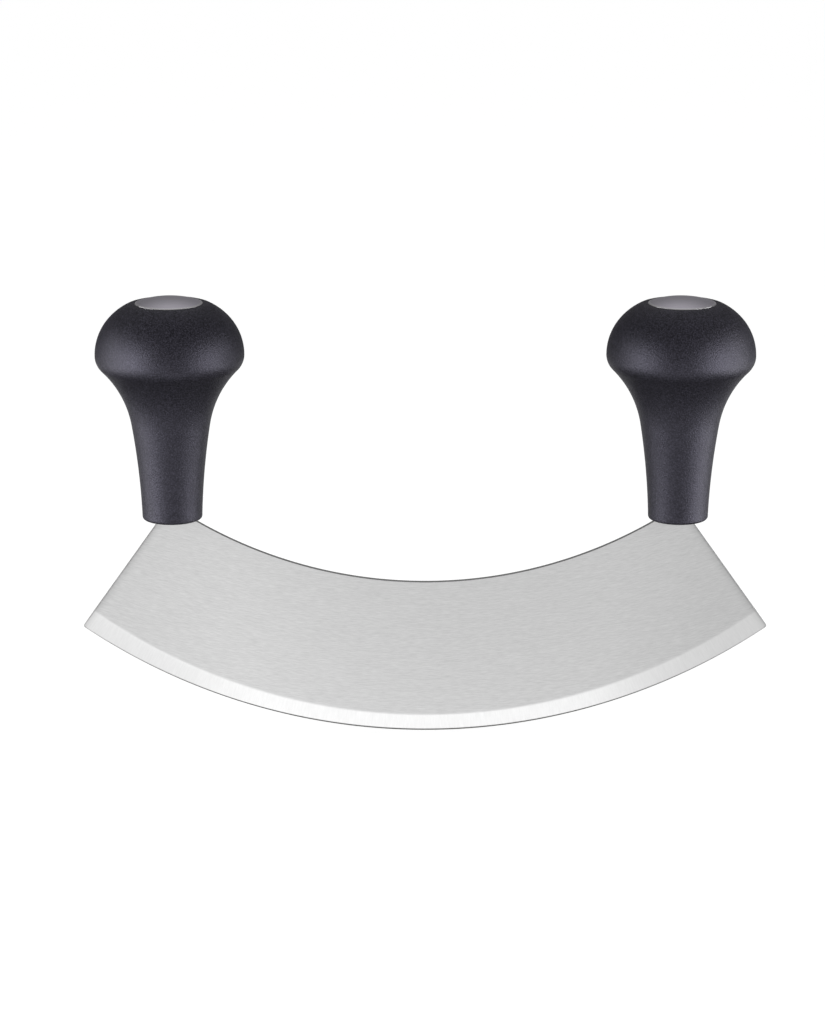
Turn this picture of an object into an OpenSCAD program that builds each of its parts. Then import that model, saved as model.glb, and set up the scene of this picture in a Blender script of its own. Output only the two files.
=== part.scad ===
// Mezzaluna: one crescent blade, rocked by two turned, mushroom-shaped handles.
// The blade lies in the XZ plane. The lowest point of its cutting edge is the origin,
// +Z is up, +X runs towards the right-hand handle, and the front face looks along -Y.

/* [Blade] */
// Length from tip to tip
blade_length = 230; // [226:0.5:236]
// Depth at the middle, from the cutting edge to the spine
blade_depth = 52.4; // [48:0.1:56]
// Thickness of the sheet
blade_thickness = 2; // [1.8:0.1:2.4]
// Radius of the cutting edge
edge_radius = 199; // [196:0.5:202]
// Radius of the hollow spine
spine_radius = 149; // [146:0.5:151]
// Angle of the two straight ends from the horizontal
end_angle = 54.6; // [54:0.1:56]
// Rounding of the two tips
tip_radius = 0.9; // [0.6:0.1:1.6]

/* [Ground edge] */
// Width of the ground face at the middle of the blade
grind_width = 5.75; // [4.5:0.05:5.8]
// How far the centre of the grind lies below the centre of the cutting edge
grind_offset = 6.4; // [6.3:0.1:7]
// Fall of the ground face for each millimetre of its width
grind_slope = 0.13; // [0.1:0.005:0.13]
// Angle of the whetted face from the middle plane of the blade
whet_angle = 30; // [20:1:35]
// Thickness left at the very edge
edge_land = 0.06; // [0.04:0.01:0.1]

/* [Tangs and studs] */
// Distance from the middle of the blade to a handle's axis
handle_x = 84.5; // [84.2:0.1:85]
// Width of a tang
tang_width = 8.4; // [7.8:0.1:8.6]
// Thickness of a tang, ground down a little so that it slides into its slot
tang_thickness = 1.8; // [1.4:0.1:1.9]
// Height of a tang above the blade's shoulder
tang_height = 23; // [18:0.5:28]
// Diameter of the threaded stud
stud_diameter = 6; // [5:1:6]
// How far the stud's slotted foot reaches down over the tang
stud_grip = 12; // [8:0.5:14]

/* [Handle outline] */
// Height of the handle's foot, where it sits on the blade's shoulders
foot_z = 74.5; // [74:0.1:75.5]
// Radius of the neck at its foot
neck_radius = 10; // [9.5:0.05:10.5]
// Rounding of the foot's rim
foot_round = 1; // [0.5:0.1:1.5]
// Radius of the neck's long hollow curve
neck_curve = 240; // [220:5:260]
// Slope of the neck from the vertical at its foot
neck_start_angle = 1.8; // [1:0.1:2.5]
// Slope where the neck opens into the flare
flare_start_angle = 9.3; // [8.8:0.1:9.8]
// Radius of the flare's hollow curve
flare_curve = 35; // [33:0.5:37]
// Steepest slope of the flare, just under the head
flare_end_angle = 45; // [43:0.5:47]
// Radius of the head at its widest
head_radius = 24.7; // [24.2:0.1:26]
// Radius of the head's shoulder curve
shoulder_curve = 18.2; // [16.5:0.1:19]
// How far round the shoulder curve runs before the flatter crown takes over
shoulder_sweep = 39; // [36:1:44]
// Radius of the crown curve
crown_curve = 20; // [19:0.5:22]
// Radius of the tighter curve that levels the crown off into the lip round the cap
lip_curve = 6; // [4:0.5:8]
// Width of the level top of the lip
lip_land = 0.1; // [0.1:0.05:0.4]
// Width of the bevel on the inside of the lip
lip_bevel = 0.1; // [0.1:0.05:0.4]

/* [End cap] */
// Radius of the domed cap
cap_radius = 11.2; // [10.8:0.05:11.6]
// Rise of the dome above its rim
cap_rise = 1.8; // [1.2:0.1:2.4]
// Thickness of the cap's sheet
cap_sheet = 0.8; // [0.6:0.1:1]
// Depth of the cap's skirt in the handle
cap_skirt = 3.9; // [3:0.1:5]
// How far the cap's rim stands above the lip
cap_proud = 0.15; // [0.1:0.05:0.5]
// Width of the flat step between the dome and the skirt
cap_step = 0.25; // [0.15:0.05:0.4]

/* [Fasteners] */
// Radius of the well under the cap
well_radius = 8.5; // [7.5:0.1:9.5]
// Height of the well's floor above the handle's foot
well_floor = 57.2; // [54:0.1:59]
// Outer diameter of the washer
washer_diameter = 12; // [11:0.5:14]
// Thickness of the washer
washer_thickness = 1.6; // [1:0.1:2]
// Clearance of the washer's hole round the stud, on the diameter
washer_play = 0.4; // [0.3:0.1:0.8]
// Width of the nut across its flats
nut_flats = 10; // [10:0.5:11]
// Height of the nut
nut_height = 5; // [4:0.1:6]
// How far the stud stands out of the nut
stud_end = 2; // [1:0.1:2.5]
// Clearance of the slot and the bore in the handle, on each side
play = 0.1; // [0.1:0.05:0.2]

/* [Hidden] */
$fn = 180;
// Overrun of a cutter past the face that it opens
over = 1;
// Largest gap between a small curve and the straight steps that follow it
chord_gap = 0.01;
left = -1;
right = 1;

// Centres of the spine's arc and of the ground face's cone, and the cone's radius at the flat
spine_centre_z = blade_depth + spine_radius;
grind_centre_z = edge_radius - grind_offset;
grind_radius = grind_centre_z - grind_width;

// A point on an arc, and the points along it after its first one, no chord further off than chord_gap
function on_arc(centre, radius, angle) = centre + radius * [cos(angle), sin(angle)];
function arc(centre, radius, from, to) =
    let (steps = ceil(abs(to - from) / (2 * acos(1 - chord_gap / radius))))
    [for (i = [1 : steps]) on_arc(centre, radius, from + (to - from) * i / steps)];

// A tip is rounded by an arc that leaves the cutting edge and ends on the blade's straight end.
// The step before it is carried on past the cutting edge, so that the two cross.
tip_x = blade_length / 2 - tip_radius;
tip_z = edge_radius - sqrt(pow(edge_radius - tip_radius, 2) - pow(tip_x, 2));
tip_centre = [tip_x, tip_z];
edge_side_angle = atan2(tip_z - edge_radius, tip_x);
tip_arc = arc(tip_centre, tip_radius, edge_side_angle, 90 - end_angle);
tip_start = 2 * on_arc(tip_centre, tip_radius, edge_side_angle) - tip_arc[0];
end_point = on_arc(tip_centre, tip_radius, 90 - end_angle);
end_top = [end_point[0] - (foot_z - end_point[1]) / tan(end_angle), foot_z];
end_side = concat([[tip_start[0], -over], tip_start], tip_arc, [end_top]);

// Each curve of the handle starts where the one below it ends, with the same slope
foot_centre = [neck_radius - foot_round * cos(neck_start_angle), foot_z + foot_round];
neck_start = on_arc(foot_centre, foot_round, -neck_start_angle);
neck_centre = on_arc(neck_start, neck_curve, -neck_start_angle);
flare_start = on_arc(neck_centre, neck_curve, 180 - flare_start_angle);
flare_centre = on_arc(flare_start, flare_curve, -flare_start_angle);
rim_start = on_arc(flare_centre, flare_curve, 180 - flare_end_angle);
rim_curve = (head_radius - rim_start[0]) / (1 - cos(flare_end_angle));
rim_centre = [head_radius - rim_curve, rim_start[1] + rim_curve * sin(flare_end_angle)];
shoulder_centre = [head_radius - shoulder_curve, rim_centre[1]];
crown_start = on_arc(shoulder_centre, shoulder_curve, shoulder_sweep);
crown_centre = on_arc(crown_start, crown_curve, 180 + shoulder_sweep);
lip_inner = cap_radius + lip_bevel + lip_land;
lip_angle = acos((lip_inner - crown_centre[0]) / (crown_curve - lip_curve));
lip_centre = on_arc(crown_centre, crown_curve - lip_curve, lip_angle);
lip_z = lip_centre[1] + lip_curve;

// Heights inside the handle
cap_rim_z = lip_z + cap_proud;
cap_seat_z = cap_rim_z - cap_skirt;
dome_foot_radius = cap_radius - cap_step;
cap_dome_radius = (pow(dome_foot_radius, 2) + pow(cap_rise, 2)) / (2 * cap_rise);
cap_dome_z = cap_rim_z + cap_rise - cap_dome_radius;
well_z = foot_z + well_floor;
nut_z = well_z + washer_thickness;
stud_top_z = nut_z + nut_height + stud_end;
tang_top_z = foot_z + tang_height;
stud_foot_z = tang_top_z - stud_grip;
bore_radius = stud_diameter / 2 + play;

// Outline of the blade without its tangs, drawn as X and Z
module blade_outline() {
    difference() {
        intersection() {
            translate([0, edge_radius]) circle(edge_radius);
            polygon(concat(
                end_side,
                [for (i = [len(end_side) - 1 : -1 : 0]) [-end_side[i][0], end_side[i][1]]]
            ));
        }
        translate([0, spine_centre_z]) circle(spine_radius);
    }
}

// Ring about the Y axis that grinds a cone on the front and the back of the blade.
// The cone has the given half thickness at the radius start, and falls outwards
// until it is thinner than the land at the very edge.
module ground_ring(centre_z, start, half_thickness, fall, inwards) {
    outwards = edge_land / 2 + (half_thickness - edge_land / 2) / fall;
    for (side = [0, 1])
        mirror([0, side, 0])
            translate([0, 0, centre_z])
                rotate([90, 0, 0])
                    rotate_extrude()
                        polygon([
                            [start - inwards, half_thickness + inwards * fall],
                            [start + outwards, half_thickness - outwards * fall],
                            [start + 2 * grind_width, half_thickness - outwards * fall],
                            [start + 2 * grind_width, 2 * blade_thickness],
                            [start - inwards, 2 * blade_thickness]
                        ]);
}

// Flat tang that runs up into a handle
module tang(side) {
    translate([side * handle_x - tang_width / 2, -tang_thickness / 2, foot_z - over])
        cube([tang_width, tang_thickness, tang_height + over]);
}

module blade() {
    color([0.80, 0.80, 0.81]) {
        difference() {
            rotate([90, 0, 0])
                linear_extrude(blade_thickness, center = true)
                    blade_outline();
            ground_ring(grind_centre_z, grind_radius, blade_thickness / 2, grind_slope, grind_width / 2);
            ground_ring(edge_radius, edge_radius, edge_land / 2, tan(whet_angle), grind_width / 2);
        }
        tang(left);
        tang(right);
    }
}

// Half section of the whole turned handle, from its foot to the lip round the cap
module handle_section() {
    polygon(concat(
        [[0, lip_z], [0, foot_z], on_arc(foot_centre, foot_round, -90)],
        arc(foot_centre, foot_round, -90, -neck_start_angle),
        arc(neck_centre, neck_curve, 180 - neck_start_angle, 180 - flare_start_angle),
        arc(flare_centre, flare_curve, 180 - flare_start_angle, 180 - flare_end_angle),
        arc(rim_centre, rim_curve, -flare_end_angle, 0),
        arc(shoulder_centre, shoulder_curve, 0, shoulder_sweep),
        arc(crown_centre, crown_curve, shoulder_sweep, lip_angle),
        arc(lip_centre, lip_curve, lip_angle, 90)
    ));
}

// Slot for the tang, bore for the stud, well for the nut, and the cap's recess
module handle_cavity() {
    translate([-tang_width / 2 - play, -tang_thickness / 2 - play, foot_z - over])
        cube([tang_width + 2 * play, tang_thickness + 2 * play, tang_height + over + play]);
    translate([0, 0, stud_foot_z - play])
        cylinder(r = bore_radius, h = well_z - stud_foot_z + over);
    translate([0, 0, well_z])
        cylinder(r = well_radius, h = cap_seat_z - well_z + over);
    translate([0, 0, cap_seat_z])
        cylinder(r = cap_radius, h = lip_z - cap_seat_z + over);
    translate([0, 0, lip_z - lip_bevel])
        cylinder(r1 = cap_radius, r2 = cap_radius + 2 * lip_bevel, h = 2 * lip_bevel);
}

module handle(side) {
    color([0.20, 0.20, 0.23])
        translate([side * handle_x, 0, 0])
            difference() {
                rotate_extrude() handle_section();
                handle_cavity();
            }
}

// Stud that is slotted over the tang, welded there, and threaded for the nut
module stud(side) {
    color([0.62, 0.62, 0.64])
        translate([side * handle_x, 0, 0])
            difference() {
                translate([0, 0, stud_foot_z])
                    cylinder(d = stud_diameter, h = stud_top_z - stud_foot_z);
                translate([-stud_diameter, -tang_thickness / 2, stud_foot_z - over])
                    cube([2 * stud_diameter, tang_thickness, stud_grip + over]);
            }
}

module washer(side) {
    color([0.70, 0.70, 0.72])
        translate([side * handle_x, 0, well_z])
            difference() {
                cylinder(d = washer_diameter, h = washer_thickness);
                translate([0, 0, -over])
                    cylinder(d = stud_diameter + washer_play, h = washer_thickness + 2 * over);
            }
}

// Hexagon nut with the corners of its top turned off
module nut(side) {
    corner = nut_flats / cos(30);
    color([0.66, 0.66, 0.68])
        translate([side * handle_x, 0, nut_z])
            difference() {
                intersection() {
                    cylinder(d = corner, h = nut_height, $fn = 6);
                    union() {
                        cylinder(d = corner + over, h = nut_height - (corner - nut_flats) / 2);
                        translate([0, 0, nut_height - (corner - nut_flats) / 2])
                            cylinder(d1 = corner + over, d2 = nut_flats,
                                     h = (corner - nut_flats) / 2);
                    }
                }
                translate([0, 0, -over])
                    cylinder(d = stud_diameter, h = nut_height + 2 * over);
            }
}

// Half section of a domed cap, either its outside or the hollow inside its sheet
module cap_section(inset) {
    translate([0, cap_seat_z - inset])
        square([cap_radius - inset, cap_skirt]);
    intersection() {
        translate([0, cap_rim_z - inset - over])
            square([cap_radius - inset, cap_rise + inset + over]);
        translate([0, cap_dome_z]) circle(cap_dome_radius - inset);
    }
}

module end_cap(side) {
    color([0.60, 0.59, 0.61])
        translate([side * handle_x, 0, 0])
            rotate_extrude()
                difference() {
                    cap_section(0);
                    cap_section(cap_sheet);
                }
}

blade();
stud(left);  // left_stud
handle(left);  // left_handle
washer(left);  // left_washer
nut(left);  // left_nut
end_cap(left);  // left_end_cap
stud(right);  // right_stud
handle(right);  // right_handle
washer(right);  // right_washer
nut(right);  // right_nut
end_cap(right);  // right_end_cap
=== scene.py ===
"""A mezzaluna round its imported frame: brushed crescent blade, two anthracite knobs, satin caps."""
import math

import bpy
import numpy as np
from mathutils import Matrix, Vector


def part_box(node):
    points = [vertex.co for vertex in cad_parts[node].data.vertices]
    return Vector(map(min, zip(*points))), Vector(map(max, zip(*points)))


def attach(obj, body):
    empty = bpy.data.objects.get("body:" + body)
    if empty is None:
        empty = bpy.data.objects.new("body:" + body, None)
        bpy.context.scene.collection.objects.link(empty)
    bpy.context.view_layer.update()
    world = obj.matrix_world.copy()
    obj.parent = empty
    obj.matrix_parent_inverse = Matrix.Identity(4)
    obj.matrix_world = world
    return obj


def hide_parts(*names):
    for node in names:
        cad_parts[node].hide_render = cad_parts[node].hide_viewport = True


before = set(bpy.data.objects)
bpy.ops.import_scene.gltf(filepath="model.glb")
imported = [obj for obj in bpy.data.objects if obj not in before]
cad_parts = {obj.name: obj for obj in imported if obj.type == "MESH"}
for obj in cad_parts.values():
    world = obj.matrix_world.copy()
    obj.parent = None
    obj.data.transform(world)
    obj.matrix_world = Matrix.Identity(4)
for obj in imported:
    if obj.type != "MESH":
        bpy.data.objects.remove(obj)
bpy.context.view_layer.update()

MM = 0.001
SIDES = {"left": -1, "right": 1}

# Sizes in metres, read from the frame where it gives them, and otherwise as drawn
blade_low, blade_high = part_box("blade")
handle_low, handle_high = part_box("right_handle")
cap_low, cap_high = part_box("right_end_cap")
HANDLE_X = (handle_low.x + handle_high.x) / 2
FOOT_Z = handle_low.z
LIP_Z = handle_high.z
HEAD_RADIUS = (handle_high.x - handle_low.x) / 2
BLADE_HALF_LENGTH = (blade_high.x - blade_low.x) / 2
HALF_THICKNESS = (blade_high.y - blade_low.y) / 2
TANG_TOP_Z = blade_high.z
EDGE_RADIUS = 199 * MM
SPINE_RADIUS = 149 * MM
BLADE_DEPTH = 52.4 * MM
END_ANGLE = math.radians(54.6)
TIP_RADIUS = 0.9 * MM
TANG_WIDTH = 8.4 * MM
TANG_HALF_THICKNESS = 0.9 * MM
TANG_ROOT = 1 * MM

# The ground face, the whetted face and the broken corners
GRIND_WIDTH = 5.75 * MM
GRIND_CENTRE_Z = EDGE_RADIUS - 6.4 * MM
GRIND_SLOPE = 0.13
WHET_SLOPE = math.tan(math.radians(30))
EDGE_LAND = 0.06 * MM
CORNER_BREAK = 0.05 * MM
SHOULDER_SOFTNESS = 0.08 * MM

# The steel's shading: how soft the ground face's border is, and how dark the painted shade at the ends is
SHOULDER_BLEND = 0.45 * MM
# Painted shade at the ends: a dark line at the sheared corner, a faint band, and a darkening of the flat
# and the ground face towards the tips
END_LINE, END_LINE_DEPTH = 0.25 * MM, 0.45
END_BAND, END_BAND_DEPTH = 3.0 * MM, 0.11
END_SHADE_START, FLAT_END_SHADE, GROUND_END_SHADE = 55 * MM, 0.12, 0.14

# The blade's grid: the share of half the edge at which the columns pass the spine's end, how many
# columns come before and after it, and where they and the rows crowd, in millimetres from the
# slanted end, the edge, the grind's shoulder and the spine
MOUTH_SHARE = 0.885
SPINE_COLUMNS, FOOT_COLUMNS = 80, 8
END_CROWD = 5 * MM
END_COLUMNS = np.array([
    4, 3, 2.2, 1.6, 1.15, 0.8, 0.5, 0.3, 0.18, 0.1, 0.06, 0.04, 0.025, 0.012, 0.004, 0,
]) * MM
EDGE_ROWS = (0, 0.12, 0.25, 0.4, 0.55, 0.7, 0.9)
SHOULDER_ROWS = (-0.75, -0.5, -0.3, -0.1, 0.1, 0.3, 0.5, 0.75, 1.0)
SPINE_ROWS = (1.0, 0.6, 0.35, 0.2, 0.1, 0.05, 0.035, 0.02, 0.01, 0.003, 0)

# The turned handle, as slopes from the vertical in degrees and radii in metres
NECK_RADIUS = 10 * MM
FOOT_ROUND = 1.0 * MM
NECK_CURVE, NECK_START = 240 * MM, 1.8
FLARE_CURVE, FLARE_START, FLARE_END = 35 * MM, 9.3, 45
SHOULDER_CURVE, SHOULDER_SWEEP = 18.2 * MM, 39
CROWN_CURVE = 20 * MM
LIP_CURVE = 6 * MM
LIP_LAND = 0.1 * MM
LIP_BEVEL = 0.1 * MM

# Inside the handle
WELL_RADIUS = 8.5 * MM
WELL_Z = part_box("right_washer")[0].z
BORE_RADIUS = 3.1 * MM
STUD_FOOT_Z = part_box("right_stud")[0].z
SLOT_HALF_WIDTH, SLOT_HALF_DEPTH = 4.3 * MM, 1.0 * MM
SLOT_ROOF_Z = STUD_FOOT_Z - 0.5 * MM
SLOT_POWER = 0.3

# The domed cap
CAP_RADIUS = (cap_high.x - cap_low.x) / 2
CAP_SEAT_Z = cap_low.z
CAP_TOP_Z = cap_high.z
CAP_RISE = 1.8 * MM
CAP_STEP = 0.25 * MM
CAP_SHEET = 0.8 * MM
CAP_RIM_ROUND = 0.25 * MM
# Painted highlight on the cap's rim: where the colour is fully bright, and where it starts to brighten, in
# from the edge
CAP_RIM_GLINT_EDGE, CAP_RIM_GLINT_BAND = 0.3 * MM, 0.9 * MM

TURNS = 160


def mesh_piece(name, points, faces, material, smooth_angle=40):
    """A mesh object at the origin, smooth except where faces meet at more than smooth_angle degrees."""
    mesh = bpy.data.meshes.new(name)
    mesh.from_pydata(np.asarray(points, float).tolist(), [], faces)
    mesh.update()
    mesh.shade_smooth()
    mesh.set_sharp_from_angle(angle=math.radians(smooth_angle))
    mesh.materials.append(material)
    piece = bpy.data.objects.new(name, mesh)
    bpy.context.scene.collection.objects.link(piece)
    return piece


def add_mask(piece, name, domain, values):
    """A named float attribute on the piece's points or faces, which its material reads."""
    layer = piece.data.attributes.new(name, "FLOAT", domain)
    layer.data.foreach_set("value", np.asarray(values, np.float32))


def arc(centre, radius, start, end, step=3.0):
    """Points centre + radius * (cos a, sin a) for a from start to end in degrees, at most step apart."""
    count = max(2, math.ceil(abs(end - start) / step) + 1)
    angle = np.radians(np.linspace(start, end, count))
    return np.column_stack([centre[0] + radius * np.cos(angle), centre[1] + radius * np.sin(angle)])


def on_arc(centre, radius, angle):
    """The point centre + radius * (cos a, sin a)."""
    a = math.radians(angle)
    return np.array([centre[0] + radius * math.cos(a), centre[1] + radius * math.sin(a)])


def distinct(profile):
    """The profile without points that repeat the one before them."""
    step = np.hypot(*np.diff(profile, axis=0).T)
    return profile[np.concatenate([[True], step > 1e-7])]


def turned_rings(profile, x):
    """Rings (n, TURNS, 3): the profile (radius, height) turned about the vertical axis at x."""
    turn = np.linspace(0, 2 * math.pi, TURNS, endpoint=False)
    radius, height = profile[:, :1], profile[:, 1:]
    return np.stack([x + radius * np.cos(turn), radius * np.sin(turn), height + 0 * turn], axis=-1)


def closed_rings(rings, first_pole, last_pole):
    """Points and faces of a skin over rings (n, m, 3), closed at each end by a fan to its pole.

    Seen from outside, the rings turn anticlockwise about the way they run."""
    n, m = rings.shape[:2]
    index = np.arange(n * m).reshape(n, m)
    turn = np.roll(index, -1, axis=1)
    quads = np.stack([index[:-1], turn[:-1], turn[1:], index[1:]], axis=-1).reshape(-1, 4)
    first, last = n * m, n * m + 1
    start = np.column_stack([turn[0], index[0], np.full(m, first)])
    end = np.column_stack([index[-1], turn[-1], np.full(m, last)])
    points = np.concatenate([rings.reshape(-1, 3), [first_pole, last_pole]])
    return points, quads.tolist() + start.tolist() + end.tolist()


# The blade


def smooth_step(value, start, end):
    """0 before start, 1 past end and 3 t^2 - 2 t^3 between them, where end may also lie below start."""
    t = np.clip((value - start) / (end - start), 0, 1)
    return t * t * (3 - 2 * t)


def soft_min(a, b, softness):
    """The smaller of a and b, rounded where they differ by less than softness."""
    return np.minimum(a, b) - np.maximum(softness - np.abs(a - b), 0) ** 2 / (4 * softness)


def past_shoulder(x, z):
    """How far a point of the middle plane lies below the shoulder of the ground face."""
    return np.hypot(x, z - GRIND_CENTRE_Z) - (GRIND_CENTRE_Z - GRIND_WIDTH)


def ground_mask(x, z):
    """0 on the flat of the blade, 1 on its ground face, and a smooth step between them."""
    return smooth_step(past_shoulder(x, z), -SHOULDER_BLEND, SHOULDER_BLEND)


def end_shade(x, ground, end_gap):
    """How much painted shade darkens the steel towards its ends, from 0 to 1.

    A painted dark line at the sheared corner falls off as exp(-gap / END_LINE), a faint painted band of
    shade is a smooth step over
    END_BAND, and painted shade on the flat and the ground face rises in a smooth step from its start to
    the tips."""
    line = END_LINE_DEPTH * np.exp(-end_gap / END_LINE)
    band = END_BAND_DEPTH * smooth_step(end_gap, END_BAND, 0)
    # Painted shade towards the tips, a little deeper on the ground face than on the flat
    tip_shade = FLAT_END_SHADE + (GROUND_END_SHADE - FLAT_END_SHADE) * ground
    return line + band + tip_shade * smooth_step(np.abs(x), END_SHADE_START, BLADE_HALF_LENGTH)


def blade_half_thickness(x, z, end_gap):
    """Half the blade's thickness over the point (x, z) of its middle plane.

    It is the sheet's own, cut back by the cone of the ground face, by the steeper cone of the
    whetted face, and by a quarter round where end_gap or the distance to the spine is small."""
    ground = HALF_THICKNESS - GRIND_SLOPE * past_shoulder(x, z)
    half = soft_min(HALF_THICKNESS, ground, SHOULDER_SOFTNESS)
    inside_edge = EDGE_RADIUS - np.hypot(x, z - EDGE_RADIUS)
    half = np.minimum(half, EDGE_LAND / 2 + WHET_SLOPE * inside_edge)
    below_spine = np.hypot(x, z - BLADE_DEPTH - SPINE_RADIUS) - SPINE_RADIUS
    for gap in (end_gap, below_spine):
        left = CORNER_BREAK - np.clip(gap, 0, CORNER_BREAK)
        quarter = HALF_THICKNESS - CORNER_BREAK + np.sqrt(CORNER_BREAK ** 2 - left ** 2)
        half = np.minimum(half, quarter)
    return half


def shoulder_distance(low, along):
    """How far the line from low in the direction along runs to the grind's shoulder, a circle."""
    away = low - np.array([[0], [GRIND_CENTRE_Z]])
    slant = np.sum(away * along, axis=0)
    radius = GRIND_CENTRE_Z - GRIND_WIDTH
    return -slant - np.sqrt(slant ** 2 - np.sum(away ** 2, axis=0) + radius ** 2)


def blade_rows():
    """The rows, each a fixed distance, a share of the way to the shoulder and a share of the column.

    Between the crowded rows, 7 run from 0.9 mm past the edge to 1 mm before the shoulder, and 15 from
    1 mm past the shoulder to 1.5 mm before the spine."""
    rows = [(d * MM, 0, 0) for d in EDGE_ROWS]
    rows += [(0.9 * MM * (1 - f) - 1.0 * MM * f, f, 0) for f in np.linspace(0, 1, 8)[1:]]
    rows += [(d * MM, 1, 0) for d in SHOULDER_ROWS]
    rows += [(1.0 * MM * (1 - f) - 1.5 * MM * f, 1 - f, f) for f in np.linspace(0, 1, 16)[1:]]
    rows += [(-d * MM, 0, 1) for d in SPINE_ROWS]
    return np.array(rows).T[:, :, None]


def round_tips(x, z, tip, normal):
    """Draws the corner at each tip in to its circle about tip, and gives the gap to the slanted end."""
    down = (tip - np.array([0, EDGE_RADIUS])) / (EDGE_RADIUS - TIP_RADIUS)
    from_tip = np.stack([np.abs(x) - tip[0], z - tip[1]])
    outward, downward = np.tensordot(normal, from_tip, 1), np.tensordot(down, from_tip, 1)
    far = np.hypot(outward, downward)
    in_corner = (outward > 0) & (downward > 0)
    drawn = np.where(in_corner & (far > TIP_RADIUS), TIP_RADIUS / np.maximum(far, 1e-9), 1)
    x = np.where(drawn < 1, np.sign(x) * (tip[0] + from_tip[0] * drawn), x)
    z = np.where(drawn < 1, tip[1] + from_tip[1] * drawn, z)
    gap = TIP_RADIUS - np.where(in_corner, np.minimum(far, TIP_RADIUS), outward)
    return x, z, np.maximum(gap, 0)


def blade_plan():
    """Points (x, z) over the crescent, rows from the edge to the spine, columns from end to end.

    Each column is a straight line from the edge's arc to the spine's arc, or to the level shoulder
    on which a handle sits. Rows crowd at the edge, at the grind's shoulder and at the spine.
    The gap to the slanted end comes back too."""
    tip_x = BLADE_HALF_LENGTH - TIP_RADIUS
    tip_z = EDGE_RADIUS - math.sqrt((EDGE_RADIUS - TIP_RADIUS) ** 2 - tip_x ** 2)
    normal = np.array([math.sin(END_ANGLE), math.cos(END_ANGLE)])
    tip = np.array([tip_x, tip_z])
    end_point = tip + TIP_RADIUS * normal

    def end_x(z):
        return end_point[0] - (z - end_point[1]) / math.tan(END_ANGLE)

    # Where the slanted end would meet the edge's arc without the round tip, found step by step
    corner_x = BLADE_HALF_LENGTH
    for _ in range(20):
        corner_x = end_x(EDGE_RADIUS - math.sqrt(EDGE_RADIUS ** 2 - corner_x ** 2))
    spine_centre = BLADE_DEPTH + SPINE_RADIUS
    mouth_x = math.sqrt(SPINE_RADIUS ** 2 - (spine_centre - FOOT_Z) ** 2)
    half = np.concatenate([
        np.linspace(0, MOUTH_SHARE, SPINE_COLUMNS),
        np.linspace(MOUTH_SHARE, 1 - END_CROWD / corner_x, FOOT_COLUMNS)[1:],
        1 - END_COLUMNS / corner_x,
    ])
    share = np.concatenate([-half[:0:-1], half])
    size, side = np.abs(share), np.sign(share)
    edge_turn = np.arcsin(corner_x / EDGE_RADIUS) * share
    low = np.stack([EDGE_RADIUS * np.sin(edge_turn), EDGE_RADIUS * (1 - np.cos(edge_turn))])
    spine_turn = np.arcsin(mouth_x / SPINE_RADIUS) * np.minimum(size / MOUTH_SHARE, 1)
    past_mouth = np.clip((size - MOUTH_SHARE) / (1 - MOUTH_SHARE), 0, 1)
    high = np.stack([
        side * (SPINE_RADIUS * np.sin(spine_turn) + past_mouth * (end_x(FOOT_Z) - mouth_x)),
        np.where(past_mouth > 0, FOOT_Z, spine_centre - SPINE_RADIUS * np.cos(spine_turn)),
    ])
    reach = np.hypot(*(high - low))
    along = (high - low) / reach
    fixed, of_shoulder, of_reach = blade_rows()
    distance = fixed + of_shoulder * shoulder_distance(low, along) + of_reach * reach
    x, z = low[:, None, :] + distance * along[:, None, :]
    return round_tips(x, z, tip, normal)


def block(low, high):
    """Points and outward faces of a box between two corners."""
    corner = np.array([[i, j, k] for i in (0, 1) for j in (0, 1) for k in (0, 1)], float)
    faces = [(0, 1, 3, 2), (4, 6, 7, 5), (0, 4, 5, 1), (2, 3, 7, 6), (0, 2, 6, 4), (1, 5, 7, 3)]
    return np.array(low) + corner * (np.array(high) - np.array(low)), np.array(faces)


def make_blade(material):
    """The crescent and its two tangs: one height field in front and behind, and a strip round them."""
    x, z, gap = blade_plan()
    half = blade_half_thickness(x, z, gap)
    n, m = x.shape
    front = np.stack([x, -half, z], axis=-1).reshape(-1, 3)
    back = np.stack([x, half, z], axis=-1).reshape(-1, 3)
    f = np.arange(n * m).reshape(n, m)
    b = f + n * m
    quads = [
        (f[:-1, :-1], f[:-1, 1:], f[1:, 1:], f[1:, :-1]),
        (b[:-1, :-1], b[1:, :-1], b[1:, 1:], b[:-1, 1:]),
        (f[0, 1:], f[0, :-1], b[0, :-1], b[0, 1:]),
        (f[-1, :-1], f[-1, 1:], b[-1, 1:], b[-1, :-1]),
        (f[:-1, 0], f[1:, 0], b[1:, 0], b[:-1, 0]),
        (f[1:, -1], f[:-1, -1], b[:-1, -1], b[1:, -1]),
    ]
    faces = np.concatenate([np.stack(q, axis=-1).reshape(-1, 4) for q in quads])
    points = [front, back]
    for side in SIDES.values():
        middle = side * HANDLE_X
        tang, tang_faces = block(
            (middle - TANG_WIDTH / 2, -TANG_HALF_THICKNESS, FOOT_Z - TANG_ROOT),
            (middle + TANG_WIDTH / 2, TANG_HALF_THICKNESS, TANG_TOP_Z),
        )
        faces = np.concatenate([faces, tang_faces + sum(len(p) for p in points)])
        points.append(tang)
    points = np.concatenate(points)
    piece = mesh_piece("crescent_blade", points, faces.tolist(), material, 30)
    gap_all = np.concatenate([gap.ravel(), gap.ravel(), np.full(len(points) - 2 * n * m, np.inf)])
    ground = ground_mask(points[:, 0], points[:, 2])
    # end_shade holds painted shade: darker steel at the slanted ends and towards the tips
    masks = {
        "ground": ("POINT", ground),
        "end_shade": ("POINT", end_shade(points[:, 0], ground, gap_all)),
        "cut": ("FACE", np.arange(len(faces)) >= 2 * (n - 1) * (m - 1)),
    }
    for name, (domain, values) in masks.items():
        add_mask(piece, name, domain, values)
    return piece


# The handles and their caps


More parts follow.
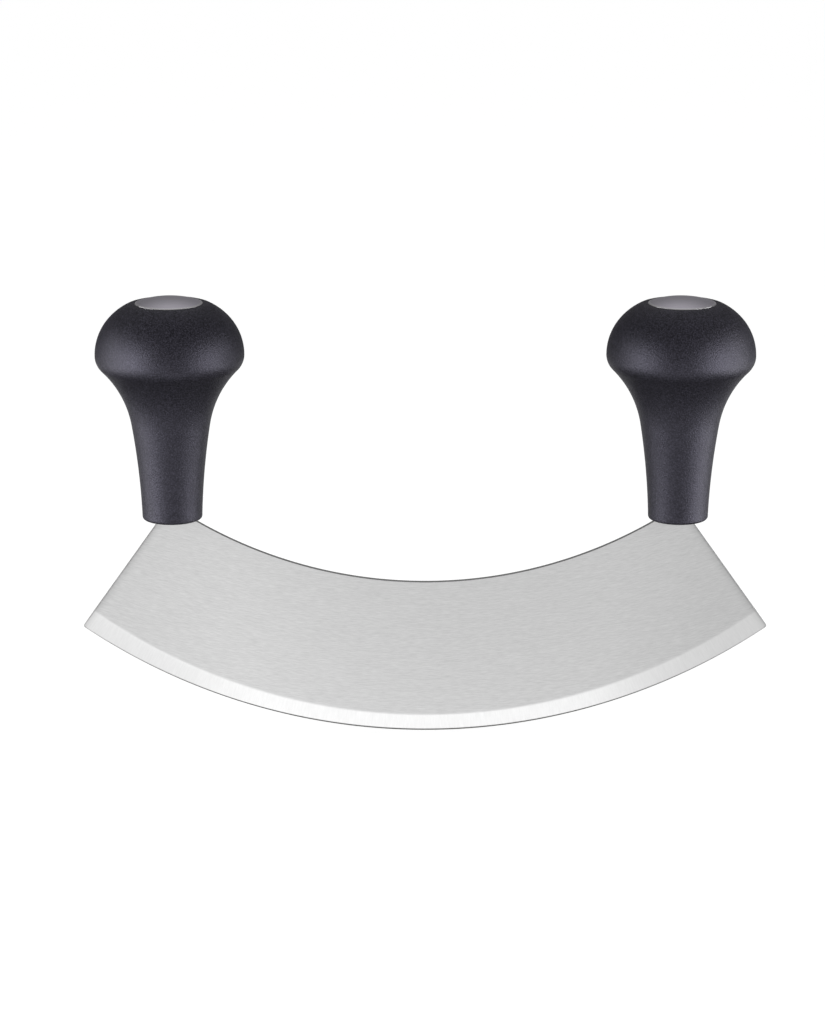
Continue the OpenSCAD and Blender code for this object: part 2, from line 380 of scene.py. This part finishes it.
def handle_profile():
    """Radius and height up the outside of a handle, over the lip and down to the stud's bore.

    Each curve starts where the one below it ends, with the same slope, so that the outline is smooth."""
    foot = np.array([NECK_RADIUS - FOOT_ROUND * math.cos(math.radians(NECK_START)), FOOT_Z + FOOT_ROUND])
    neck = on_arc(on_arc(foot, FOOT_ROUND, -NECK_START), NECK_CURVE, -NECK_START)
    flare = on_arc(on_arc(neck, NECK_CURVE, 180 - FLARE_START), FLARE_CURVE, -FLARE_START)
    rim_start = on_arc(flare, FLARE_CURVE, 180 - FLARE_END)
    rim_curve = (HEAD_RADIUS - rim_start[0]) / (1 - math.cos(math.radians(FLARE_END)))
    rim = np.array([HEAD_RADIUS - rim_curve, rim_start[1] + rim_curve * math.sin(math.radians(FLARE_END))])
    shoulder = np.array([HEAD_RADIUS - SHOULDER_CURVE, rim[1]])
    crown = on_arc(on_arc(shoulder, SHOULDER_CURVE, SHOULDER_SWEEP), CROWN_CURVE, 180 + SHOULDER_SWEEP)
    lip_inner = CAP_RADIUS + LIP_BEVEL
    lip_angle = math.degrees(math.acos((lip_inner + LIP_LAND - crown[0]) / (CROWN_CURVE - LIP_CURVE)))
    lip = on_arc(crown, CROWN_CURVE - LIP_CURVE, lip_angle)
    return distinct(np.concatenate([
        arc(foot, FOOT_ROUND, -90, -NECK_START, 6),
        arc(neck, NECK_CURVE, 180 - NECK_START, 180 - FLARE_START, 0.25),
        arc(flare, FLARE_CURVE, 180 - FLARE_START, 180 - FLARE_END, 1),
        arc(rim, rim_curve, -FLARE_END, 0, 2),
        arc(shoulder, SHOULDER_CURVE, 0, SHOULDER_SWEEP, 1.5),
        arc(crown, CROWN_CURVE, SHOULDER_SWEEP, lip_angle, 1.5),
        arc(lip, LIP_CURVE, lip_angle, 90, 2),
        arc((lip_inner, LIP_Z - LIP_BEVEL), LIP_BEVEL, 90, 180, 15),
        [(CAP_RADIUS, CAP_SEAT_Z), (WELL_RADIUS, CAP_SEAT_Z), (WELL_RADIUS, WELL_Z)],
        [(BORE_RADIUS, WELL_Z), (BORE_RADIUS, STUD_FOOT_Z)],
    ]))


def slot_rings(x, foot_radius):
    """Rings from the roof of the tang's slot down to the foot and out to the circle of foot_radius.

    The slot's outline is a superellipse close to a rectangle, half width * |cos a|^SLOT_POWER by
    half depth * |sin a|^SLOT_POWER, and on the foot it blends into the circle."""
    turn = np.linspace(0, 2 * math.pi, TURNS, endpoint=False)
    cos, sin = np.cos(turn), np.sin(turn)
    slot_x = SLOT_HALF_WIDTH * np.sign(cos) * np.abs(cos) ** SLOT_POWER
    slot_y = SLOT_HALF_DEPTH * np.sign(sin) * np.abs(sin) ** SLOT_POWER
    rings = [(slot_x, slot_y, SLOT_ROOF_Z)]
    for share in np.linspace(0, 1, 6)[:-1]:
        blend_x = (1 - share) * slot_x + share * foot_radius * cos
        blend_y = (1 - share) * slot_y + share * foot_radius * sin
        rings.append((blend_x, blend_y, FOOT_Z))
    return np.array([np.column_stack([x + a, b, np.full(TURNS, c)]) for a, b, c in rings])


def make_handle(side, material):
    """A turned knob: slot and foot from below, the outside, and the well and bore from above."""
    x = SIDES[side] * HANDLE_X
    profile = handle_profile()
    rings = np.concatenate([slot_rings(x, profile[0, 0]), turned_rings(profile, x)])
    points, faces = closed_rings(rings, (x, 0, SLOT_ROOF_Z), (x, 0, STUD_FOOT_Z))
    return mesh_piece(f"{side}_knob", points, faces, material)


def make_cap(side, material):
    """A domed sheet cap, hollow under its dome and inside its skirt, with a small round at the rim."""
    x = SIDES[side] * HANDLE_X
    rim_z = CAP_TOP_Z - CAP_RISE
    foot = CAP_RADIUS - CAP_STEP
    dome_radius = (foot ** 2 + CAP_RISE ** 2) / (2 * CAP_RISE)
    dome = (0.0, CAP_TOP_Z - dome_radius)
    sweep = math.degrees(math.asin(foot / dome_radius))
    inner_radius = dome_radius - CAP_SHEET
    inner_wall = CAP_RADIUS - CAP_SHEET
    inner_sweep = math.degrees(math.asin(inner_wall / inner_radius))
    rim = (CAP_RADIUS - CAP_RIM_ROUND, rim_z - CAP_RIM_ROUND)
    profile = distinct(np.concatenate([
        arc(dome, inner_radius, 89, 90 - inner_sweep, 1),
        [(inner_wall, CAP_SEAT_Z), (CAP_RADIUS, CAP_SEAT_Z)],
        arc(rim, CAP_RIM_ROUND, 0, 90, 15),
        arc(dome, dome_radius, 90 - sweep, 89.5, 0.5),
    ]))
    inner_pole = (x, 0, dome[1] + inner_radius)
    points, faces = closed_rings(turned_rings(profile, x), inner_pole, (x, 0, CAP_TOP_Z))
    piece = mesh_piece(f"{side}_domed_cap", points, faces, material)
    from_rim = CAP_RADIUS - np.hypot(points[:, 0] - x, points[:, 1])
    # The rim mask is a painted highlight: the colour brightens towards the cap's edge
    add_mask(piece, "rim", "POINT", smooth_step(from_rim, CAP_RIM_GLINT_BAND, CAP_RIM_GLINT_EDGE))
    return piece


# Materials


def add(tree, kind, place=None, **values):
    """A node of one kind. A value is set on the input of that name, or linked if it is a socket.

    The names i0, i1 and so on stand for an input's number. place holds the node's own settings."""
    node = tree.nodes.new(kind)
    for key, value in (place or {}).items():
        setattr(node, key, value)
    for key, value in values.items():
        socket = node.inputs[int(key[1:])] if key[0] == "i" and key[1:].isdigit() else node.inputs[key]
        if isinstance(value, bpy.types.NodeSocket):
            tree.links.new(value, socket)
        else:
            socket.default_value = value
    return node


def maths(tree, operation, a, b=0.0, c=0.0):
    """The output of a Math node."""
    return add(tree, "ShaderNodeMath", {"operation": operation}, i0=a, i1=b, i2=c).outputs[0]


def mapped(tree, value, low, high):
    """value from 0..1 to low..high, without clamping."""
    return maths(tree, "MULTIPLY_ADD", value, high - low, low)


def noise(tree, vector, scale, detail=2.0, roughness=0.5):
    """The grey output of a noise."""
    settings = {"Vector": vector, "Scale": scale, "Detail": detail, "Roughness": roughness}
    return add(tree, "ShaderNodeTexNoise", {"noise_dimensions": "3D"}, **settings).outputs[0]


def new_group(name, inputs, outputs):
    """An empty shader group: its tree, its input sockets and its output node.

    An input whose value is None is a vector, and the others are floats."""
    tree = bpy.data.node_groups.new(name, "ShaderNodeTree")
    for label, value in inputs.items():
        kind = "NodeSocketVector" if value is None else "NodeSocketFloat"
        socket = tree.interface.new_socket(label, in_out="INPUT", socket_type=kind)
        if value is not None:
            socket.default_value = value
    for label in outputs:
        tree.interface.new_socket(label, in_out="OUTPUT", socket_type="NodeSocketFloat")
    return tree, tree.nodes.new("NodeGroupInput").outputs, tree.nodes.new("NodeGroupOutput")


def brushed_lines():
    """Group: fine lines that follow circles about a point above the blade, as a belt leaves them.

    The circles' centre lies at the height Centre. The noise is stretched to Length along the circle
    and Width across it, so a Width above Length gives lines across the circle."""
    tree, given, out = new_group(
        "brushed_lines",
        {"Vector": None, "Centre": 0.4, "Length": 0.02, "Width": 0.0002},
        ["Tone", "Height"],
    )
    parts = add(tree, "ShaderNodeSeparateXYZ", Vector=given["Vector"]).outputs
    down = maths(tree, "SUBTRACT", given["Centre"], parts[2])
    turn = maths(tree, "ARCTAN2", parts[0], down)
    side_squared = maths(tree, "MULTIPLY", parts[0], parts[0])
    down_squared = maths(tree, "MULTIPLY", down, down)
    radius = maths(tree, "SQRT", maths(tree, "ADD", side_squared, down_squared))
    along = maths(tree, "DIVIDE", maths(tree, "MULTIPLY", turn, given["Centre"]), given["Length"])
    across = maths(tree, "DIVIDE", radius, given["Width"])
    depth = maths(tree, "DIVIDE", parts[1], given["Width"])
    place = add(tree, "ShaderNodeCombineXYZ", X=along, Y=across, Z=depth).outputs[0]
    fine = noise(tree, place, 1.0, 3.0, 0.65)
    coarse = add(tree, "ShaderNodeVectorMath", {"operation": "SCALE"}, i0=place, Scale=0.23)
    wide = noise(tree, coarse.outputs[0], 1.0)
    both = maths(tree, "MULTIPLY_ADD", wide, 0.2, maths(tree, "MULTIPLY", fine, 0.8))
    tree.links.new(both, out.inputs["Tone"])
    tree.links.new(fine, out.inputs["Height"])
    return tree


def moulded_grain():
    """Group: the fine matt grain of a moulding, rounded grains with darker ground between them."""
    tree, given, out = new_group("moulded_grain", {"Vector": None, "Size": 0.0005}, ["Tone", "Height"])
    scale = maths(tree, "DIVIDE", 1.0, given["Size"])
    fine = noise(tree, given["Vector"], scale, 2.0, 0.6)
    cells = add(tree, "ShaderNodeTexVoronoi", Vector=given["Vector"], Scale=scale).outputs["Distance"]
    sparkle = maths(tree, "SUBTRACT", fine, maths(tree, "MULTIPLY", cells, 0.35))
    tree.links.new(sparkle, out.inputs["Tone"])
    tree.links.new(sparkle, out.inputs["Height"])
    return tree


def place_group(tree, group, **values):
    """A group node with its inputs set or linked."""
    return add(tree, "ShaderNodeGroup", {"node_tree": group}, **values).outputs


def new_material(name):
    """A material with a Principled BSDF, its tree, the shader and the Object coordinates."""
    material = bpy.data.materials.new(name)
    material.use_nodes = True
    tree = material.node_tree
    shader = tree.nodes["Principled BSDF"]
    position = tree.nodes.new("ShaderNodeTexCoord").outputs["Object"]
    return material, tree, shader, position


def mix_colour(tree, factor, a, b):
    """Colour a where factor is 0, and b where it is 1."""
    node = add(tree, "ShaderNodeMix", {"data_type": "RGBA"}, i0=factor)
    for socket, value in ((node.inputs[6], a), (node.inputs[7], b)):
        if isinstance(value, bpy.types.NodeSocket):
            tree.links.new(value, socket)
        else:
            socket.default_value = (*value, 1)
    return node.outputs[2]


def mix_value(tree, factor, a, b):
    """Value a where factor is 0, and b where it is 1."""
    return add(tree, "ShaderNodeMix", {"data_type": "FLOAT"}, i0=factor, i2=a, i3=b).outputs[0]


def blade_steel(lines):
    """Satin sheet brushed along the blade, its brighter ground face and its plain cut faces.

    The masks on the mesh tell them apart: ground and cut, and end_shade paints shade that darkens the
    steel towards its ends."""
    material, tree, shader, position = new_material("blade_steel")
    mask, shade, cut = (
        add(tree, "ShaderNodeAttribute", {"attribute_name": name}).outputs["Fac"]
        for name in ("ground", "end_shade", "cut")
    )
    brushed = place_group(tree, lines, Vector=position, Centre=0.38, Length=0.0032, Width=0.00024)
    ground = place_group(tree, lines, Vector=position, Centre=EDGE_RADIUS, Length=0.0005, Width=0.004)
    flat = mix_colour(tree, brushed["Tone"], (0.52, 0.52, 0.52), (0.95, 0.95, 0.95))
    bright = mix_colour(tree, ground["Tone"], (0.76, 0.76, 0.76), (0.92, 0.92, 0.92))
    # Painted shade: end_shade darkens the colour towards black at the slanted ends and the tips
    shaded = mix_colour(tree, shade, mix_colour(tree, mask, flat, bright), (0.0, 0.0, 0.0))
    tree.links.new(mix_colour(tree, cut, shaded, (0.88, 0.88, 0.88)), shader.inputs["Base Color"])
    shader.inputs["Metallic"].default_value = 1.0
    flat_rough = mapped(tree, brushed["Tone"], 0.48, 0.36)
    ground_rough = mapped(tree, ground["Tone"], 0.32, 0.26)
    rough = mix_value(tree, mask, flat_rough, ground_rough)
    tree.links.new(mix_value(tree, cut, rough, 0.25), shader.inputs["Roughness"])
    height = mix_value(tree, mask, brushed["Height"], ground["Height"])
    bump = add(tree, "ShaderNodeBump", Strength=0.2, Distance=0.00001, Height=height)
    tree.links.new(bump.outputs[0], shader.inputs["Normal"])
    return material


def knob_plastic(grain):
    """Anthracite moulding with a slight violet tint and a fine matt grain."""
    material, tree, shader, position = new_material("knob_plastic")
    fine = place_group(tree, grain, Vector=position, Size=0.00045)
    colour = mix_colour(tree, mapped(tree, fine["Tone"], -0.45, 1.75), (0, 0, 0), (0.036, 0.034, 0.046))
    tree.links.new(colour, shader.inputs["Base Color"])
    tree.links.new(mapped(tree, fine["Tone"], 0.50, 0.40), shader.inputs["Roughness"])
    shader.inputs["Specular IOR Level"].default_value = 0.59
    shader.inputs["Specular Tint"].default_value = (0.815, 0.79, 1.0, 1)
    bump = add(tree, "ShaderNodeBump", Strength=1.0, Distance=0.0001, Height=fine["Height"])
    tree.links.new(bump.outputs[0], shader.inputs["Normal"])
    return material


def cap_steel(lines):
    """Satin sheet metal of the domed caps, slightly violet, with a painted highlight on its rim."""
    material, tree, shader, position = new_material("cap_steel")
    brushed = place_group(tree, lines, Vector=position, Centre=0.9, Length=0.004, Width=0.00015)
    rim = add(tree, "ShaderNodeAttribute", {"attribute_name": "rim"}).outputs["Fac"]
    dome = mix_colour(tree, brushed["Tone"], (0.62, 0.59, 0.67), (0.94, 0.90, 0.99))
    # Painted highlight: the rim mask turns the colour near white at the cap's edge
    tree.links.new(mix_colour(tree, rim, dome, (0.98, 0.96, 0.99)), shader.inputs["Base Color"])
    shader.inputs["Metallic"].default_value = 1.0
    tree.links.new(mapped(tree, brushed["Tone"], 0.42, 0.30), shader.inputs["Roughness"])
    bump = add(tree, "ShaderNodeBump", Strength=0.15, Distance=0.00001, Height=brushed["Height"])
    tree.links.new(bump.outputs[0], shader.inputs["Normal"])
    return material


def fastener_steel(lines):
    """Plain bright steel of the hidden stud, washer and nut."""
    material, tree, shader, position = new_material("fastener_steel")
    turned = place_group(tree, lines, Vector=position, Centre=2.0, Length=0.003, Width=0.0003)
    colour = mix_colour(tree, turned["Tone"], (0.46, 0.46, 0.47), (0.62, 0.62, 0.63))
    tree.links.new(colour, shader.inputs["Base Color"])
    shader.inputs["Metallic"].default_value = 1.0
    tree.links.new(mapped(tree, turned["Tone"], 0.38, 0.24), shader.inputs["Roughness"])
    return material


# The studio

CAMERA_TARGET = Vector((-4.25, 0, 76.58)) * MM
CAMERA_DISTANCE = 1150 * MM
CAMERA_PITCH = 14.78
CAMERA_LENS = 120.92
FLOOR_SIZE = 8.0
STUDIO_AIM = Vector((0, 0, 0.09))

# Soft boxes: place, width, height, power in watts
PANELS = {
    "left_upper_box": ((-0.60, -0.05, 0.24), 0.50, 0.28, 1.03),
    "left_lower_box": ((-0.60, -0.05, -0.06), 0.50, 0.28, 1.26),
    "left_front_box": ((-0.52, -0.36, 0.12), 0.30, 0.40, 2.09),
    "right_upper_box": ((0.60, -0.05, 0.24), 0.50, 0.28, 1.17),
    "right_lower_box": ((0.60, -0.05, -0.06), 0.50, 0.28, 1.60),
    "right_front_box": ((0.52, -0.36, 0.12), 0.30, 0.40, 1.70),
    "near_box": ((-0.13, -0.26, -0.05), 0.12, 0.12, 0.02),
    "edge_strip": ((-0.005, -0.13, -0.075), 0.185, 0.05, 0.01),
    "back_box": ((0, 0.60, -0.17), 1.60, 0.26, 0.60),
}

# Soft glows of the room: azimuth from the front towards +X, elevation, spread in degrees, strength
GLOWS = {
    "front_left_low": (-40, -22, 20, 0.90),
    "front_right_low": (40, -22, 20, 0.77),
    "front_low": (0, -32, 14, 0.75),
    "front_high": (0, 32, 25, 0.15),
    "above": (0, 85, 28, 0.25),
    "back_top": (180, 55, 16, 0.44),
    "back_level": (180, -10, 25, 0.17),
    "back_right": (130, -15, 25, 0.05),
}
ROOM_STRENGTH = 0.01
FLOOR_GLOW = 0.76
OVERHEAD_STRENGTH = 2.0
OVERHEAD_SPREAD = 90
OVERHEAD_TILT = -20


def direction(azimuth, elevation):
    """The unit vector at an azimuth from the front (-Y) towards +X, and an elevation, in degrees."""
    a, e = math.radians(azimuth), math.radians(elevation)
    return Vector((math.sin(a) * math.cos(e), -math.cos(a) * math.cos(e), math.sin(e)))


def make_camera():
    """The photograph's view: a long lens, 15 degrees above the horizon, level and straight on."""
    data = bpy.data.cameras.new("camera")
    data.lens = CAMERA_LENS
    data.sensor_width = 36
    data.clip_start, data.clip_end = 0.05, 50
    camera = bpy.data.objects.new("camera", data)
    camera.location = CAMERA_TARGET + CAMERA_DISTANCE * direction(0, CAMERA_PITCH)
    camera.rotation_euler = (math.radians(90 - CAMERA_PITCH), 0, 0)
    bpy.context.scene.collection.objects.link(camera)
    bpy.context.scene.camera = camera


def make_panel(name, place, width, height, power):
    """A soft box that faces the object and doesn't show to the camera."""
    data = bpy.data.lights.new(name, "AREA")
    data.shape = "RECTANGLE"
    data.size, data.size_y = width, height
    data.energy = power
    panel = bpy.data.objects.new(name, data)
    panel.location = place
    panel.rotation_euler = (STUDIO_AIM - Vector(place)).to_track_quat("-Z", "Y").to_euler()
    panel.visible_camera = False
    bpy.context.scene.collection.objects.link(panel)


def make_overhead():
    """Broad even light from above, which gives the floor its soft shadow and shows in no reflection."""
    data = bpy.data.lights.new("overhead", "SUN")
    data.energy = OVERHEAD_STRENGTH
    data.angle = math.radians(OVERHEAD_SPREAD)
    overhead = bpy.data.objects.new("overhead", data)
    overhead.rotation_euler = (math.radians(OVERHEAD_TILT), 0, 0)
    overhead.visible_glossy = False
    bpy.context.scene.collection.objects.link(overhead)


def floor_material():
    """Pale floor that is white to the camera and takes a soft shadow."""
    material, _, shader, _ = new_material("studio_floor")
    shader.inputs["Base Color"].default_value = (0.3, 0.3, 0.3, 1)
    shader.inputs["Roughness"].default_value = 0.9
    shader.inputs["Specular IOR Level"].default_value = 0.0
    shader.inputs["Emission Color"].default_value = (1, 1, 1, 1)
    shader.inputs["Emission Strength"].default_value = FLOOR_GLOW
    return material


def make_world():
    """White behind the object for the camera, and for the object a dim room with soft glows in it.

    Each glow falls off from its direction as exp((cos angle - 1) / spread squared)."""
    world = bpy.data.worlds.new("studio_room")
    bpy.context.scene.world = world
    world.use_nodes = True
    tree = world.node_tree
    shader = tree.nodes["Background"]
    ray = tree.nodes.new("ShaderNodeTexCoord").outputs["Generated"]
    total = ROOM_STRENGTH
    for name, (azimuth, elevation, spread, strength) in GLOWS.items():
        sharp = 1 / math.radians(spread) ** 2
        glow_direction = tuple(direction(azimuth, elevation))
        dot = add(tree, "ShaderNodeVectorMath", {"operation": "DOT_PRODUCT"}, i0=ray, i1=glow_direction)
        fall = maths(tree, "EXPONENT", maths(tree, "MULTIPLY_ADD", dot.outputs["Value"], sharp, -sharp))
        total = maths(tree, "MULTIPLY_ADD", fall, strength, total)
        total.node.name = name
    seen = tree.nodes.new("ShaderNodeLightPath").outputs["Is Camera Ray"]
    tree.links.new(mix_value(tree, seen, total, 1.0), shader.inputs["Strength"])
    shader.inputs["Color"].default_value = (1, 1, 1, 1)


def make_studio():
    """Floor, soft boxes, overhead light and room. The floor shows to the camera alone."""
    half = FLOOR_SIZE / 2
    points = [(-half, -half, 0), (half, -half, 0), (half, half, 0), (-half, half, 0)]
    floor = mesh_piece("floor", points, [(0, 1, 2, 3)], floor_material())
    for kind in ("diffuse", "glossy", "transmission", "volume_scatter", "shadow"):
        setattr(floor, f"visible_{kind}", False)
    for name, values in PANELS.items():
        make_panel(name, *values)
    make_overhead()
    make_world()


def join_frame(piece, slot, *nodes):
    """The piece rides on the part's one body and stands for its CAD nodes."""
    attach(piece, "root")
    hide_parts(*nodes)


def build():
    """Every piece of the object, then the studio."""
    lines, grain = brushed_lines(), moulded_grain()
    steel, plastic = blade_steel(lines), knob_plastic(grain)
    satin, bright = cap_steel(lines), fastener_steel(lines)
    join_frame(make_blade(steel), "blade_steel", "blade")
    for side in SIDES:
        join_frame(make_handle(side, plastic), "handle_plastic", f"{side}_handle")
        join_frame(make_cap(side, satin), "cap_steel", f"{side}_end_cap")
        for fastener in ("stud", "washer", "nut"):
            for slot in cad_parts[f"{side}_{fastener}"].material_slots:
                slot.material = bright
    make_camera()
    make_studio()
    bpy.context.scene.view_settings.view_transform = "Standard"


build()
